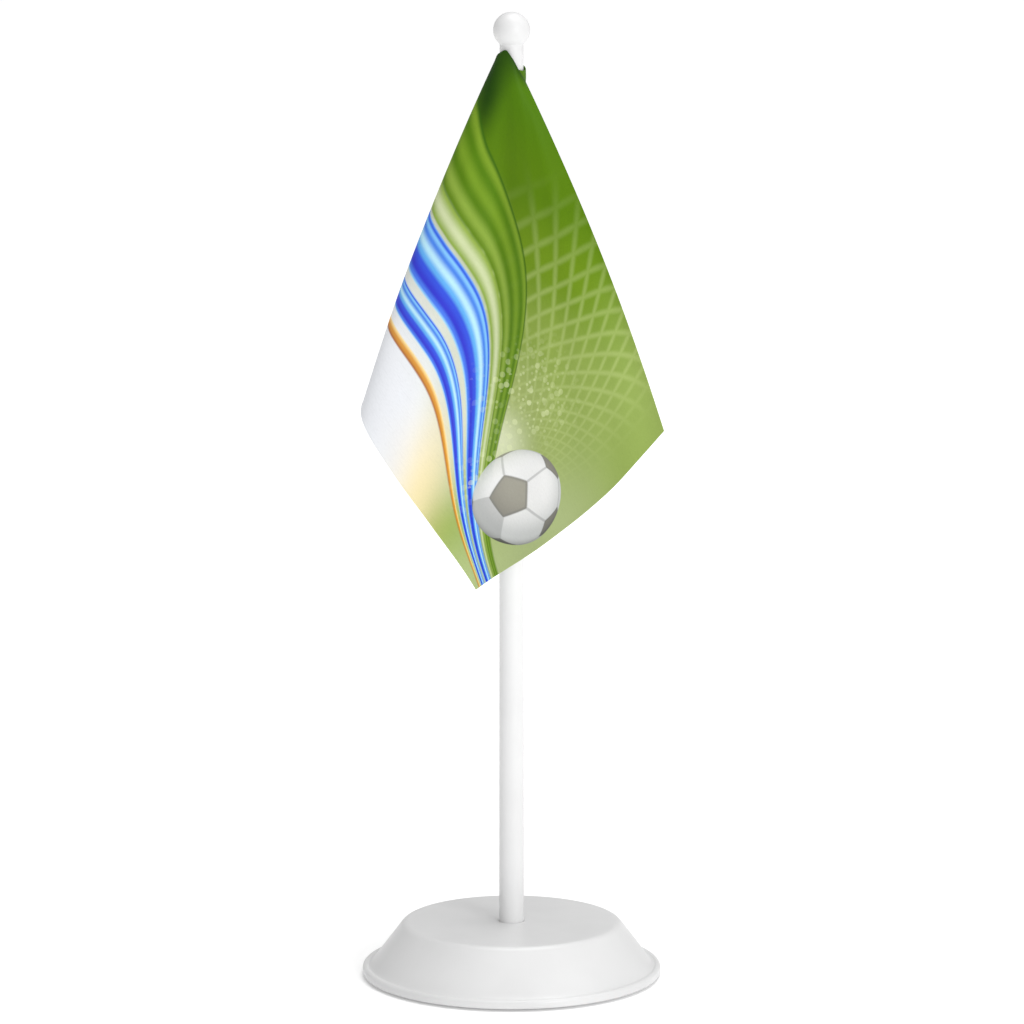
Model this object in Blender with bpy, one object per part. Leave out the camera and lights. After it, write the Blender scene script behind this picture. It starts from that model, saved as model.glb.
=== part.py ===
"""Desk flag stand: a weighted round base, an upright pole with a ball finial, and a small draped flag.

Metres, +Z up. The origin is the centre of the underside, on the pole's axis, and -Y is the side that
the flag faces. The pole lifts out of the base, the finial pulls off the pole, the stop ring slides
along the pole, and the flag swivels about it on the ring.
"""

import math

import bmesh
import bpy
import numpy as np
from mathutils import Vector

MM = 0.001
SEAT_GAP = 0.3 * MM  # between pieces that rest on each other
SLIP_GAP = 0.2 * MM  # around a shaft that slides or turns in its hole
THREAD_GAP = 0.3 * MM  # around a screw's shank, where its thread would be

# Underside: pad, cover and rim
PAD_MARGIN = 2.85 * MM  # from the pad's edge to the cover's
PAD_THICKNESS = 1.0 * MM
RIM_LIFT = 0.8 * MM  # the rim's lower edge stays clear of the table
COVER_THICKNESS = 2.2 * MM

# Moulded base
BASE_RADIUS = 50.0 * MM
BASE_HEIGHT = 18.3 * MM
TOP_RADIUS = 36.2 * MM  # where the top disc and the skirt would meet
TOP_EDGE_ROUND = 1.6 * MM
SHELL_WALL = 2.0 * MM
BEAD_WIDTH = 2.35 * MM  # the rolled bead along the rim
BEAD_RISE = 3.6 * MM  # the bead's crown above the rim's lower edge
CREASE_RISE = 2.5 * MM  # the crease inside the bead, above the same edge
RIM_ROUND = 0.8 * MM

# Pole and its socket
POLE_DIAMETER = 8.3 * MM
POLE_WALL = 1.1 * MM
POLE_TOP = 299.8 * MM
SOCKET_FLOOR = 5.0 * MM
SOCKET_WALL = 2.6 * MM
PLUG_FLANGE = 1.0 * MM
PLUG_STEM = 10.0 * MM
PLUG_EDGE = (0.9, 0.4)  # the flange's chamfer: share of its radius left, share of its height

# Finial
BALL_DIAMETER = 12.0 * MM
NECK_DIAMETER = 7.7 * MM
NECK_LENGTH = 11.6 * MM
SPIGOT_LENGTH = 12.0 * MM
SPIGOT_EDGE = (0.85, 0.5)  # its chamfer: share of its radius left, and share of it in height
BALL_ARC_END = 82.0  # degrees; the last facets close the ball's top

# Ballast and its fixings
BALLAST_MARGIN = 1.4 * MM  # from the ballast's upper edge to the inside of the skirt
BALLAST_THICKNESS = 6.0 * MM
BALLAST_CLEARANCE = 0.6 * MM
POST_RADIUS = 3.0 * MM
POST_CIRCLE = 20.0 * MM
SCREW_COUNT = 3
SCREW_CIRCLE = 26.0 * MM
FIRST_SCREW = 83.0  # degrees about +Z
SCREW_DIAMETER = 3.0 * MM
SCREW_LENGTH = 9.0 * MM
SCREW_HEAD_DIAMETER = 5.6 * MM
SCREW_HEAD_HEIGHT = 1.0 * MM
SCREW_SLOT_WIDTH = 0.8 * MM
SCREW_SLOT_DEPTH = 0.5 * MM
SCREW_POINT = 0.6  # the narrowing at the point, as a share of the screw's radius
HEAD_EDGE = (0.85, 0.4)  # a head's chamfer: share of its radius left, share of its height
SCREW_BOSS_WALL = 1.4 * MM
HEAD_COVER_WALL = 0.7 * MM  # cover left above a screw's head

# Flag
HOIST = 100.0 * MM
FLY = 150.0 * MM
PEAK_ABOVE_POLE = 10.3 * MM  # the highest point of the cloth, above the pole tube's end
CLOTH_THICKNESS = 0.3 * MM
SLEEVE_THICKNESS = 0.25 * MM
SLEEVE_RIM_MIDDLE = 1.9 * MM  # how far the sleeve's slanted rim lies below the hoist's top
SLEEVE_RIM_SLANT = 2.6 * MM
SLEEVE_RIM_HIGH_SIDE = 150.0  # degrees about +Z
SEAM_RADIUS = 0.3 * MM
SEAM_END_MARGIN = 1.0 * MM

# Stop ring
RING_WIDTH = 1.7 * MM
RING_HEIGHT = 3.0 * MM
RING_EDGE = 0.3  # the chamfer, as a share of the ring's width

ROUND_STEPS = 72
SMALL_ROUND_STEPS = 32
FLAG_STEPS_BOTTOM = 24  # lines of cloth that end on the bottom edge
FLAG_STEPS_FLY = 12  # lines that end on the fly edge
FLAG_STEPS_ALONG = 14

# The draped flag, from the hoist round the back fold and across the front to the top edge. Each row
# is a taut line of the cloth from the pole to the flag's free edge: where it ends on the flat flag
# (shares of FLY and HOIST), where it leaves the pole (degrees about +Z, and how far below FLAG_PEAK),
# where it ends in plan (shares of HOIST from the axis), and the share of its flat length that is
# left once it has left the pole.
DRAPE = (
    ((0.000, 1.00), 140, 2.3 * MM, (-0.039, 0.033), 1.000),
    ((0.147, 1.00), 145, 2.3 * MM, (-0.140, 0.220), 1.000),
    ((0.300, 1.00), 150, 2.3 * MM, (-0.320, 0.280), 1.000),
    ((0.440, 1.00), 165, 2.7 * MM, (-0.470, 0.150), 1.000),
    ((0.533, 1.00), 185, 2.9 * MM, (-0.497, -0.010), 0.985),
    ((0.647, 1.00), 205, 1.8 * MM, (-0.393, -0.100), 1.010),
    ((0.820, 1.00), 225, 0.8 * MM, (-0.255, -0.130), 0.995),
    ((1.000, 1.00), 245, 0.0 * MM, (-0.117, -0.130), 0.983),
    ((1.000, 0.66), 270, 2.3 * MM, (0.125, -0.280), 0.961),
    ((1.000, 0.33), 295, 6.3 * MM, (0.321, -0.400), 0.915),
    ((1.000, 0.00), 325, 9.8 * MM, (0.490, -0.420), 0.833),
)
DRAPE_WRAP_RADIUS = 5.05 * MM  # the wrap radius DRAPE is drawn for; its ends move out with the sleeve
FOLD_ROW = 4  # the row of DRAPE along the back fold's outer side
TOP_EDGE_BOW = 2.6 * MM  # how far the top edge bellies out
TOP_EDGE_BELLY = (0.75, -0.3, 0.55)  # and which way
TOP_EDGE_REACH = math.radians(28)  # the part of the cloth that bellies with it
FOLD_BOW = 2.0 * MM  # the same for the rounded back fold
FOLD_BELLY = (-1.0, 0.0, 0.3)
FOLD_REACH = math.radians(16)

# Values worked out from the sizes above
POLE_RADIUS = POLE_DIAMETER / 2
POLE_BORE = POLE_RADIUS - POLE_WALL
SOCKET_RADIUS = POLE_RADIUS + SLIP_GAP
BOSS_RADIUS = SOCKET_RADIUS + SOCKET_WALL
COVER_BOTTOM = PAD_THICKNESS + SEAT_GAP
COVER_TOP = COVER_BOTTOM + COVER_THICKNESS
LEDGE_HEIGHT = COVER_TOP + SEAT_GAP
CREASE_RADIUS = BASE_RADIUS - BEAD_WIDTH
RECESS_RADIUS = CREASE_RADIUS - SHELL_WALL / 2
COVER_RADIUS = RECESS_RADIUS - SEAT_GAP
PAD_RADIUS = COVER_RADIUS - PAD_MARGIN
PLATE_UNDERSIDE = BASE_HEIGHT - SHELL_WALL
BALLAST_TOP = PLATE_UNDERSIDE - SEAT_GAP
BALLAST_BOTTOM = BALLAST_TOP - BALLAST_THICKNESS
SCREW_RADIUS = SCREW_DIAMETER / 2
PILOT_RADIUS = SCREW_RADIUS + THREAD_GAP
SCREW_BOSS_RADIUS = PILOT_RADIUS + SCREW_BOSS_WALL
HEAD_RADIUS = SCREW_HEAD_DIAMETER / 2
HEAD_SEAT = COVER_TOP - HEAD_COVER_WALL
SCREW_HEAD_TOP = HEAD_SEAT - SEAT_GAP
PLUG_BOTTOM = SOCKET_FLOOR + SEAT_GAP
POLE_BOTTOM = PLUG_BOTTOM + PLUG_FLANGE + SEAT_GAP
NECK_BOTTOM = POLE_TOP + SEAT_GAP
BALL_RADIUS = BALL_DIAMETER / 2
NECK_RADIUS = NECK_DIAMETER / 2
BALL_CENTRE = NECK_BOTTOM + NECK_LENGTH + math.sqrt(BALL_RADIUS**2 - NECK_RADIUS**2)
SLEEVE_BORE = POLE_RADIUS + SLIP_GAP
SLEEVE_RADIUS = SLEEVE_BORE + SLEEVE_THICKNESS
FLAG_PEAK = POLE_TOP + PEAK_ABOVE_POLE
HOIST_TOP = FLAG_PEAK - DRAPE[0][2]
SLEEVE_BOTTOM = HOIST_TOP - HOIST
WRAP_RADIUS = SLEEVE_RADIUS + SEAT_GAP + CLOTH_THICKNESS / 2
RING_TOP = SLEEVE_BOTTOM - SEAT_GAP


def clear_scene():
    for thing in list(bpy.data.objects):
        bpy.data.objects.remove(thing, do_unlink=True)


def material(name, colour, roughness, metallic=0.0):
    made = bpy.data.materials.new(name)
    made.use_nodes = True
    shader = made.node_tree.nodes["Principled BSDF"]
    shader.inputs["Base Color"].default_value = (*colour, 1.0)
    shader.inputs["Roughness"].default_value = roughness
    shader.inputs["Metallic"].default_value = metallic
    return made


def empty(name, location, parent=None):
    made = bpy.data.objects.new(name, None)
    made.location = location
    made.empty_display_size = 10 * MM
    made.parent = parent
    bpy.context.collection.objects.link(made)
    return made


def add_object(name, bm, finish, parent=None, location=(0, 0, 0), smooth_below=35):
    """Turns a bmesh into an object whose faces point out."""
    bmesh.ops.recalc_face_normals(bm, faces=bm.faces)
    mesh = bpy.data.meshes.new(name)
    bm.to_mesh(mesh)
    bm.free()
    mesh.shade_smooth()
    mesh.set_sharp_from_angle(angle=math.radians(smooth_below))
    mesh.materials.append(finish)
    made = bpy.data.objects.new(name, mesh)
    made.location = location
    made.parent = parent
    bpy.context.collection.objects.link(made)
    return made


def turned(outline, steps=ROUND_STEPS):
    """A closed outline of (radius, height) points, turned about Z."""
    bm = bmesh.new()
    points = [bm.verts.new((radius, 0, height)) for radius, height in outline]
    on_axis = [radius == 0 for radius, _ in outline]
    edges = []
    for i, point in enumerate(points):
        following = (i + 1) % len(points)
        if not (on_axis[i] and on_axis[following]):
            edges.append(bm.edges.new((point, points[following])))
    bmesh.ops.spin(
        bm,
        geom=points + edges,
        axis=(0, 0, 1),
        cent=(0, 0, 0),
        steps=steps,
        angle=2 * math.pi,
        use_merge=True,
    )
    bmesh.ops.remove_doubles(bm, verts=bm.verts, dist=1e-7)
    return bm


def disc_outline(radius, bottom, top):
    return [(0, bottom), (radius, bottom), (radius, top), (0, top)]


def ring_outline(inner, outer, bottom, top):
    return [(inner, bottom), (outer, bottom), (outer, top), (inner, top)]


def arc(centre, radius, start, end, steps):
    """Points on an arc in an outline, from start to end degrees, both ends included."""
    angles = np.radians(np.linspace(start, end, steps + 1))
    return [(centre[0] + radius * math.cos(a), centre[1] + radius * math.sin(a)) for a in angles]


def around(count, radius, first):
    """Places spread evenly on a circle about Z."""
    angles = [math.radians(first + 360 * i / count) for i in range(count)]
    return [(radius * math.cos(a), radius * math.sin(a), 0) for a in angles]


def combine(target, outline, places, operation):
    """Adds or cuts a small turned shape at each place."""
    word = "boss" if operation == "UNION" else "cutter"
    for place in places:
        tool = add_object(
            f"{target.name}_{word}_{len(target.modifiers)}",
            turned(outline, SMALL_ROUND_STEPS),
            target.data.materials[0],
            target.parent,
            place,
        )
        apply_tool(target, tool, operation)


def apply_tool(target, tool, operation):
    tool.hide_render = True
    tool.display_type = "WIRE"
    boolean = target.modifiers.new(tool.name, "BOOLEAN")
    boolean.operation = operation
    boolean.solver = "MANIFOLD"
    boolean.object = tool


def skirt_direction():
    """Unit vector down the skirt, from the top disc to the crease."""
    down = Vector((CREASE_RADIUS - TOP_RADIUS, RIM_LIFT + CREASE_RISE - BASE_HEIGHT))
    return down.normalized()


def inner_skirt_radius(height):
    """Radius of the skirt's inside at a height, one wall in from its outside."""
    down = skirt_direction()
    inside = Vector((TOP_RADIUS, BASE_HEIGHT)) + SHELL_WALL * Vector((down.y, -down.x))
    return inside.x + (height - inside.y) * down.x / down.y


def rounded_corner(corner, before, after, length, steps=4):
    """A corner of an outline, rounded from length before it to length after it."""
    start = corner + (before - corner).normalized() * length
    end = corner + (after - corner).normalized() * length
    shares = [i / steps for i in range(steps + 1)]
    points = [(1 - t) ** 2 * start + 2 * t * (1 - t) * corner + t**2 * end for t in shares]
    return [tuple(point) for point in points]


def base_outline():
    """Section of the moulded base, down its outside, in under the rim and up its inside."""
    corner = Vector((TOP_RADIUS, BASE_HEIGHT))
    crease = Vector((CREASE_RADIUS, RIM_LIFT + CREASE_RISE))
    bead = BEAD_WIDTH / 2
    bead_centre = (BASE_RADIUS - bead, RIM_LIFT + BEAD_RISE - bead)
    rim_centre = (BASE_RADIUS - RIM_ROUND, RIM_LIFT + RIM_ROUND)
    outside = [(SOCKET_RADIUS, BASE_HEIGHT)]
    outside += rounded_corner(corner, Vector((0, BASE_HEIGHT)), crease, TOP_EDGE_ROUND)
    outside += [tuple(crease)]
    outside += arc(bead_centre, bead, 165, 0, 6)
    outside += arc(rim_centre, RIM_ROUND, 0, -90, 3)
    inside = [
        (RECESS_RADIUS, RIM_LIFT),
        (RECESS_RADIUS, LEDGE_HEIGHT),
        (inner_skirt_radius(LEDGE_HEIGHT), LEDGE_HEIGHT),
        (inner_skirt_radius(PLATE_UNDERSIDE), PLATE_UNDERSIDE),
        (BOSS_RADIUS, PLATE_UNDERSIDE),
        (BOSS_RADIUS, LEDGE_HEIGHT),
        (0, LEDGE_HEIGHT),
        (0, SOCKET_FLOOR),
        (SOCKET_RADIUS, SOCKET_FLOOR),
    ]
    return outside + inside


def screw_places():
    return around(SCREW_COUNT, SCREW_CIRCLE, FIRST_SCREW)


def post_places():
    return around(SCREW_COUNT, POST_CIRCLE, FIRST_SCREW + 180 / SCREW_COUNT)


def make_base_shell(parent, white):
    shell = add_object("base_shell", turned(base_outline()), white, parent)
    middle_of_plate = BASE_HEIGHT - SHELL_WALL / 2
    boss = disc_outline(SCREW_BOSS_RADIUS, LEDGE_HEIGHT, middle_of_plate)
    combine(shell, boss, screw_places(), "UNION")
    pilot_top = SCREW_HEAD_TOP + SCREW_LENGTH + SEAT_GAP
    pilot = disc_outline(PILOT_RADIUS, 0, pilot_top)
    combine(shell, pilot, screw_places(), "DIFFERENCE")


def make_ballast(parent, steel):
    inner = BOSS_RADIUS + BALLAST_CLEARANCE
    outer = inner_skirt_radius(BALLAST_TOP) - BALLAST_MARGIN
    outline = ring_outline(inner, outer, BALLAST_BOTTOM, BALLAST_TOP)
    ballast = add_object("ballast_ring", turned(outline), steel, parent)
    hole = disc_outline(SCREW_BOSS_RADIUS + BALLAST_CLEARANCE, 0, BASE_HEIGHT)
    combine(ballast, hole, screw_places(), "DIFFERENCE")


def make_cover(parent, white):
    outline = disc_outline(COVER_RADIUS, COVER_BOTTOM, COVER_TOP)
    cover = add_object("base_cover", turned(outline), white, parent)
    middle_of_cover = (COVER_BOTTOM + COVER_TOP) / 2
    post = disc_outline(POST_RADIUS, middle_of_cover, BALLAST_BOTTOM - SEAT_GAP)
    combine(cover, post, post_places(), "UNION")
    clearance_hole = PILOT_RADIUS
    head_recess = HEAD_RADIUS + SEAT_GAP
    hole = [
        (0, 0),
        (head_recess, 0),
        (head_recess, HEAD_SEAT),
        (clearance_hole, HEAD_SEAT),
        (clearance_hole, BASE_HEIGHT),
        (0, BASE_HEIGHT),
    ]
    combine(cover, hole, screw_places(), "DIFFERENCE")


def make_screws(parent, steel):
    head_bottom = SCREW_HEAD_TOP - SCREW_HEAD_HEIGHT
    tip = SCREW_HEAD_TOP + SCREW_LENGTH
    taper = SCREW_RADIUS * SCREW_POINT
    outline = [
        (0, head_bottom),
        (HEAD_RADIUS * HEAD_EDGE[0], head_bottom),
        (HEAD_RADIUS, head_bottom + SCREW_HEAD_HEIGHT * HEAD_EDGE[1]),
        (HEAD_RADIUS, SCREW_HEAD_TOP),
        (SCREW_RADIUS, SCREW_HEAD_TOP),
        (SCREW_RADIUS, tip - taper * 2),
        (SCREW_RADIUS - taper, tip),
        (0, tip),
    ]
    for i, place in enumerate(screw_places(), 1):
        name = f"cover_screw_{i}"
        screw = add_object(name, turned(outline, SMALL_ROUND_STEPS), steel, parent, place)
        slot = bmesh.new()
        bmesh.ops.create_cube(slot, size=1.0)
        size = (SCREW_HEAD_DIAMETER * 2, SCREW_SLOT_WIDTH, SCREW_SLOT_DEPTH * 2)
        bmesh.ops.scale(slot, vec=size, verts=slot.verts)
        bottom = (place[0], place[1], head_bottom)
        apply_tool(screw, add_object(f"{name}_slot", slot, steel, parent, bottom), "DIFFERENCE")


def make_pad(parent, foam):
    pad = turned(disc_outline(PAD_RADIUS, 0, PAD_THICKNESS))
    add_object("anti_slip_pad", pad, foam, parent)


def make_pole(parent, white, grey):
    tube = ring_outline(POLE_BORE, POLE_RADIUS, POLE_BOTTOM, POLE_TOP)
    add_object("pole_tube", turned(tube, SMALL_ROUND_STEPS * 2), white, parent)
    flange_top = PLUG_BOTTOM + PLUG_FLANGE
    stem = POLE_BORE - SLIP_GAP
    plug = [
        (0, PLUG_BOTTOM),
        (POLE_RADIUS * PLUG_EDGE[0], PLUG_BOTTOM),
        (POLE_RADIUS, PLUG_BOTTOM + PLUG_FLANGE * PLUG_EDGE[1]),
        (POLE_RADIUS, flange_top),
        (stem, flange_top),
        (stem, flange_top + PLUG_STEM),
        (0, flange_top + PLUG_STEM),
    ]
    add_object("pole_end_plug", turned(plug, SMALL_ROUND_STEPS), grey, parent)


def make_finial(parent, white):
    """Ball, neck and the spigot that plugs into the pole, with the origin at the pole's top."""
    spigot = POLE_BORE - SLIP_GAP
    ball_start = math.degrees(math.asin((NECK_BOTTOM + NECK_LENGTH - BALL_CENTRE) / BALL_RADIUS))
    outline = [
        (0, NECK_BOTTOM - SPIGOT_LENGTH),
        (spigot * SPIGOT_EDGE[0], NECK_BOTTOM - SPIGOT_LENGTH),
        (spigot, NECK_BOTTOM - SPIGOT_LENGTH + spigot * SPIGOT_EDGE[1]),
        (spigot, NECK_BOTTOM),
        (NECK_RADIUS, NECK_BOTTOM),
    ]
    outline += arc((0, BALL_CENTRE), BALL_RADIUS, ball_start, BALL_ARC_END, 14)
    outline += [(0, BALL_CENTRE + BALL_RADIUS)]
    local = [(radius, height - POLE_TOP) for radius, height in outline]
    add_object("finial", turned(local, 48), white, parent)


def make_stop_ring(parent, rubber):
    """A rounded rubber ring that grips the pole, with the origin at its own height."""
    edge = RING_WIDTH * RING_EDGE
    outer = SLEEVE_BORE + RING_WIDTH
    half = RING_HEIGHT / 2
    outline = [
        (SLEEVE_BORE, -half),
        (outer - edge, -half),
        (outer, edge - half),
        (outer, half - edge),
        (outer - edge, half),
        (SLEEVE_BORE, half),
    ]
    add_object("flag_stop_ring", turned(outline, 48), rubber, parent)


def make_sleeve(parent, cloth):
    """The tube of cloth round the pole, whose upper rim is cut at a slant."""
    outline = ring_outline(SLEEVE_BORE, SLEEVE_RADIUS, SLEEVE_BOTTOM, HOIST_TOP)
    bm = turned(outline, 48)
    middle = HOIST_TOP - SLEEVE_RIM_MIDDLE
    high_side = math.radians(SLEEVE_RIM_HIGH_SIDE)
    for vert in bm.verts:
        if vert.co.z > (SLEEVE_BOTTOM + HOIST_TOP) / 2:
            azimuth = math.atan2(vert.co.y, vert.co.x)
            vert.co.z = middle + SLEEVE_RIM_SLANT * math.cos(azimuth - high_side)
        vert.co.z -= RING_TOP
    add_object("hoist_sleeve", bm, cloth, parent)


def smooth_row(at, places, rows):
    """Rows blended smoothly between their places, by cubic Hermite spans."""
    slopes = np.gradient(rows, places, axis=0)
    span = int(np.clip(np.searchsorted(places, at) - 1, 0, len(places) - 2))
    width = places[span + 1] - places[span]
    t = (at - places[span]) / width
    return (
        (2 * t**3 - 3 * t**2 + 1) * rows[span]
        + (t**3 - 2 * t**2 + t) * width * slopes[span]
        + (3 * t**2 - 2 * t**3) * rows[span + 1]
        + (t**3 - t**2) * width * slopes[span + 1]
    )


def drape_rows():
    """For each line of DRAPE: its angle from the hoist on the flat flag, and its start, direction
    and length share, as one row of seven numbers."""
    angles = []
    rows = []
    for (fly, hoist), azimuth, drop, (x, y), share in DRAPE:
        flat = math.hypot(fly * FLY, hoist * HOIST)
        turn = math.radians(azimuth)
        start = Vector(
            (WRAP_RADIUS * math.cos(turn), WRAP_RADIUS * math.sin(turn), FLAG_PEAK - drop)
        )
        end = math.hypot(x, y) * HOIST
        grown = HOIST * (end + WRAP_RADIUS - DRAPE_WRAP_RADIUS) / end
        across = Vector((x * grown - start.x, y * grown - start.y, 0))
        down = math.sqrt((share * flat) ** 2 - across.length_squared)
        direction = (across - Vector((0, 0, down))).normalized()
        angles.append(math.atan2(fly * FLY, hoist * HOIST))
        rows.append((*start, *direction, share))
    return np.array(angles), np.array(rows)


def flag_line(angle, angles, rows):
    """Points of the draped flag along one taut line, from the pole to the free edge."""
    row = smooth_row(angle, angles, rows)
    start = Vector(row[0:3])
    direction = Vector(row[3:6]).normalized()
    corner = math.atan2(FLY, HOIST)
    flat = HOIST / math.cos(angle) if angle < corner else FLY / math.sin(angle)
    length = float(row[6]) * flat
    fold_angle = float(angles[FOLD_ROW])
    top = max(0.0, 1 - (math.pi / 2 - angle) / TOP_EDGE_REACH) ** 2
    fold = math.exp(-(((angle - fold_angle) / FOLD_REACH) ** 2))
    belly = top * TOP_EDGE_BOW * Vector(TOP_EDGE_BELLY) + fold * FOLD_BOW * Vector(FOLD_BELLY)
    points = []
    for i in range(FLAG_STEPS_ALONG + 1):
        t = i / FLAG_STEPS_ALONG
        points.append(start + t * length * direction + 4 * t * (1 - t) * belly)
    return points


def make_flag_panel(parent, cloth):
    """The draped flag as a thin closed sheet, thickened to both sides of its middle surface."""
    angles, rows = drape_rows()
    corner = math.atan2(FLY, HOIST)
    to_corner = np.linspace(0, corner, FLAG_STEPS_BOTTOM + 1).tolist()
    past_corner = np.linspace(corner, math.pi / 2, FLAG_STEPS_FLY + 1).tolist()
    lines = [flag_line(angle, angles, rows) for angle in to_corner + past_corner[1:]]
    bm = bmesh.new()
    grid = [[bm.verts.new(point - Vector((0, 0, RING_TOP))) for point in line] for line in lines]
    for left, right in zip(grid, grid[1:]):
        for i in range(FLAG_STEPS_ALONG):
            bm.faces.new((left[i], left[i + 1], right[i + 1], right[i]))
    mesh = bpy.data.meshes.new("flag_panel")
    bm.to_mesh(mesh)
    bm.free()
    mesh.shade_smooth()
    mesh.materials.append(cloth)
    panel = bpy.data.objects.new("flag_panel", mesh)
    panel.parent = parent
    bpy.context.collection.objects.link(panel)
    thicken = panel.modifiers.new("thickness", "SOLIDIFY")
    thicken.thickness = CLOTH_THICKNESS
    thicken.offset = 0.0
    thicken.use_even_offset = True


def make_seam(parent, thread):
    """The line of thread beside the hoist, on the outside of the sleeve."""
    hoist_side = math.radians(DRAPE[0][1])
    circle = SLEEVE_RADIUS + SEAT_GAP + SEAM_RADIUS
    azimuth = hoist_side - (2 * SEAM_RADIUS + SEAT_GAP / 2) / circle
    place = (circle * math.cos(azimuth), circle * math.sin(azimuth), 0)
    low = SLEEVE_BOTTOM + SEAM_END_MARGIN - RING_TOP
    high = HOIST_TOP - SLEEVE_RIM_MIDDLE - SEAM_END_MARGIN - RING_TOP
    seam = turned(disc_outline(SEAM_RADIUS, low, high), 8)
    add_object("sleeve_seam", seam, thread, parent, place)


def build():
    clear_scene()
    white = material("white_plastic", (0.86, 0.87, 0.88), 0.35)
    pole_white = material("pole_plastic", (0.88, 0.89, 0.90), 0.30)
    finial_white = material("finial_plastic", (0.88, 0.89, 0.90), 0.30)
    cover_white = material("cover_plastic", (0.80, 0.81, 0.82), 0.50)
    grey = material("plug_plastic", (0.55, 0.56, 0.57), 0.50)
    steel = material("zinc_steel", (0.60, 0.61, 0.62), 0.40, 1.0)
    screw_steel = material("screw_steel", (0.70, 0.70, 0.70), 0.30, 1.0)
    foam = material("pad_foam", (0.06, 0.06, 0.065), 0.90)
    rubber = material("ring_rubber", (0.75, 0.76, 0.77), 0.70)
    satin = material("flag_satin", (0.20, 0.36, 0.03), 0.55)
    sleeve_satin = material("sleeve_satin", (0.09, 0.20, 0.02), 0.60)
    thread = material("seam_thread", (0.12, 0.26, 0.03), 0.80)

    base = empty("base", (0, 0, 0))
    pole = empty("pole", (0, 0, 0), base)
    finial = empty("finial_mount", (0, 0, POLE_TOP), pole)
    ring = empty("stop_ring", (0, 0, RING_TOP - RING_HEIGHT / 2), pole)
    flag = empty("flag", (0, 0, RING_HEIGHT / 2), ring)

    make_base_shell(base, white)
    make_ballast(base, steel)
    make_cover(base, cover_white)
    make_screws(base, screw_steel)
    make_pad(base, foam)
    make_pole(pole, pole_white, grey)
    make_finial(finial, finial_white)
    make_stop_ring(ring, rubber)
    make_sleeve(flag, sleeve_satin)
    make_flag_panel(flag, satin)
    make_seam(flag, thread)


build()
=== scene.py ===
"""Looks of the desk flag stand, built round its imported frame.

Metres, +Z up, with the pole on the Z axis and the flag's printed front facing -Y. The print is drawn
by shader nodes in millimetres on the flat flag: x along the fly from the hoist, y down from the top.
"""

import itertools
import math

import bmesh
import bpy
import numpy as np
from mathutils import Matrix, Vector


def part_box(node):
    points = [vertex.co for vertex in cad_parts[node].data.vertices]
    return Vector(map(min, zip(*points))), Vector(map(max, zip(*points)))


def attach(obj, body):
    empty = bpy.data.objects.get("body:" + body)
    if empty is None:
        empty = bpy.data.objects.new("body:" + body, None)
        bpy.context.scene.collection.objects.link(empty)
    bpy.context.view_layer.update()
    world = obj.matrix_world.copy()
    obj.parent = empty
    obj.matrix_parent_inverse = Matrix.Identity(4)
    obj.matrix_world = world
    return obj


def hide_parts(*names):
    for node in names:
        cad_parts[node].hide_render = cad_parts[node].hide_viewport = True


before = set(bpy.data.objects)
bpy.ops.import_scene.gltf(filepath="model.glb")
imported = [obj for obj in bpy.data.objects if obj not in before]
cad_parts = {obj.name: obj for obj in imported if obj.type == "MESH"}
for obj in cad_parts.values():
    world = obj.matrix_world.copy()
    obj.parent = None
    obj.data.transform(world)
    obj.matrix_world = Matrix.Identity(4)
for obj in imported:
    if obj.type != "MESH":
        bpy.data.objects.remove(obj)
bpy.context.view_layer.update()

MM = 0.001

# The camera and the studio
CAMERA_PLACE = (0.0, -1.6, 0.4187)
CAMERA_PITCH = 9.283  # degrees below the horizon
CAMERA_LENS = 172.15  # millimetres, as the sensor's width is
CAMERA_SENSOR = 36.0
CAMERA_SHIFT = 0.0004
CAMERA_CLIP_END = 200.0
WORLD_STRENGTH = 0.46
LIGHTS_AIM = (0, 0, 0.15)
# Soft area lights: name, place, size and power
LIGHTS = (
    ("key", (1.0, -1.45, 0.75), (0.7, 1.1), 13.8),
    ("front", (0.35, -2.2, 0.25), (1.0, 0.8), 4.5),
    ("top", (0.2, 0.1, 1.9), (1.2, 1.2), 21.0),
)
# Painted light: the floor glows, weakly under the stand so that its contact shadow stays, and more strongly
# away from it
FLOOR_RADIUS = 40.0
FLOOR_GLOW = 0.15  # under the stand, so that its contact shadow stays
FLOOR_GLOW_ADDED = 0.45  # away from the stand
FLOOR_GLOW_SPAN = (0.06, 0.7)  # distances from the pole's axis between which it is added

# Moulded base, with its bead and crease a little lower than the frame's
TOP_RADIUS = 36.2 * MM
TOP_EDGE_ROUND = 1.6 * MM
SHELL_WALL = 2.0 * MM
BEAD_WIDTH = 2.35 * MM
BEAD_RISE = 2.95 * MM
CREASE_RISE = 2.3 * MM
CREASE_SOFTNESS = (3.0 * MM, 0.75 * MM)  # up the skirt, and along the bead
RIM_ROUND = 0.8 * MM
SOCKET_EDGE = 0.2 * MM  # the chamfer where the pole goes in
SOCKET_WALL = 2.6 * MM
SOCKET_FLOOR = 5.0 * MM
SOCKET_GAP = 0.06 * MM  # the visible gap round the pole
LEDGE_RISE = 2.5 * MM  # above the cover's underside: the cover's thickness and a gap

PAD_EDGE_ROUND = 0.35 * MM
PAD_GROOVES = 5
PAD_GROOVE_DEPTH = 0.3 * MM
PAD_GROOVE_WIDTH = 1.2 * MM

POLE_WALL = 1.1 * MM
POLE_EDGE = 0.25 * MM

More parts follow.
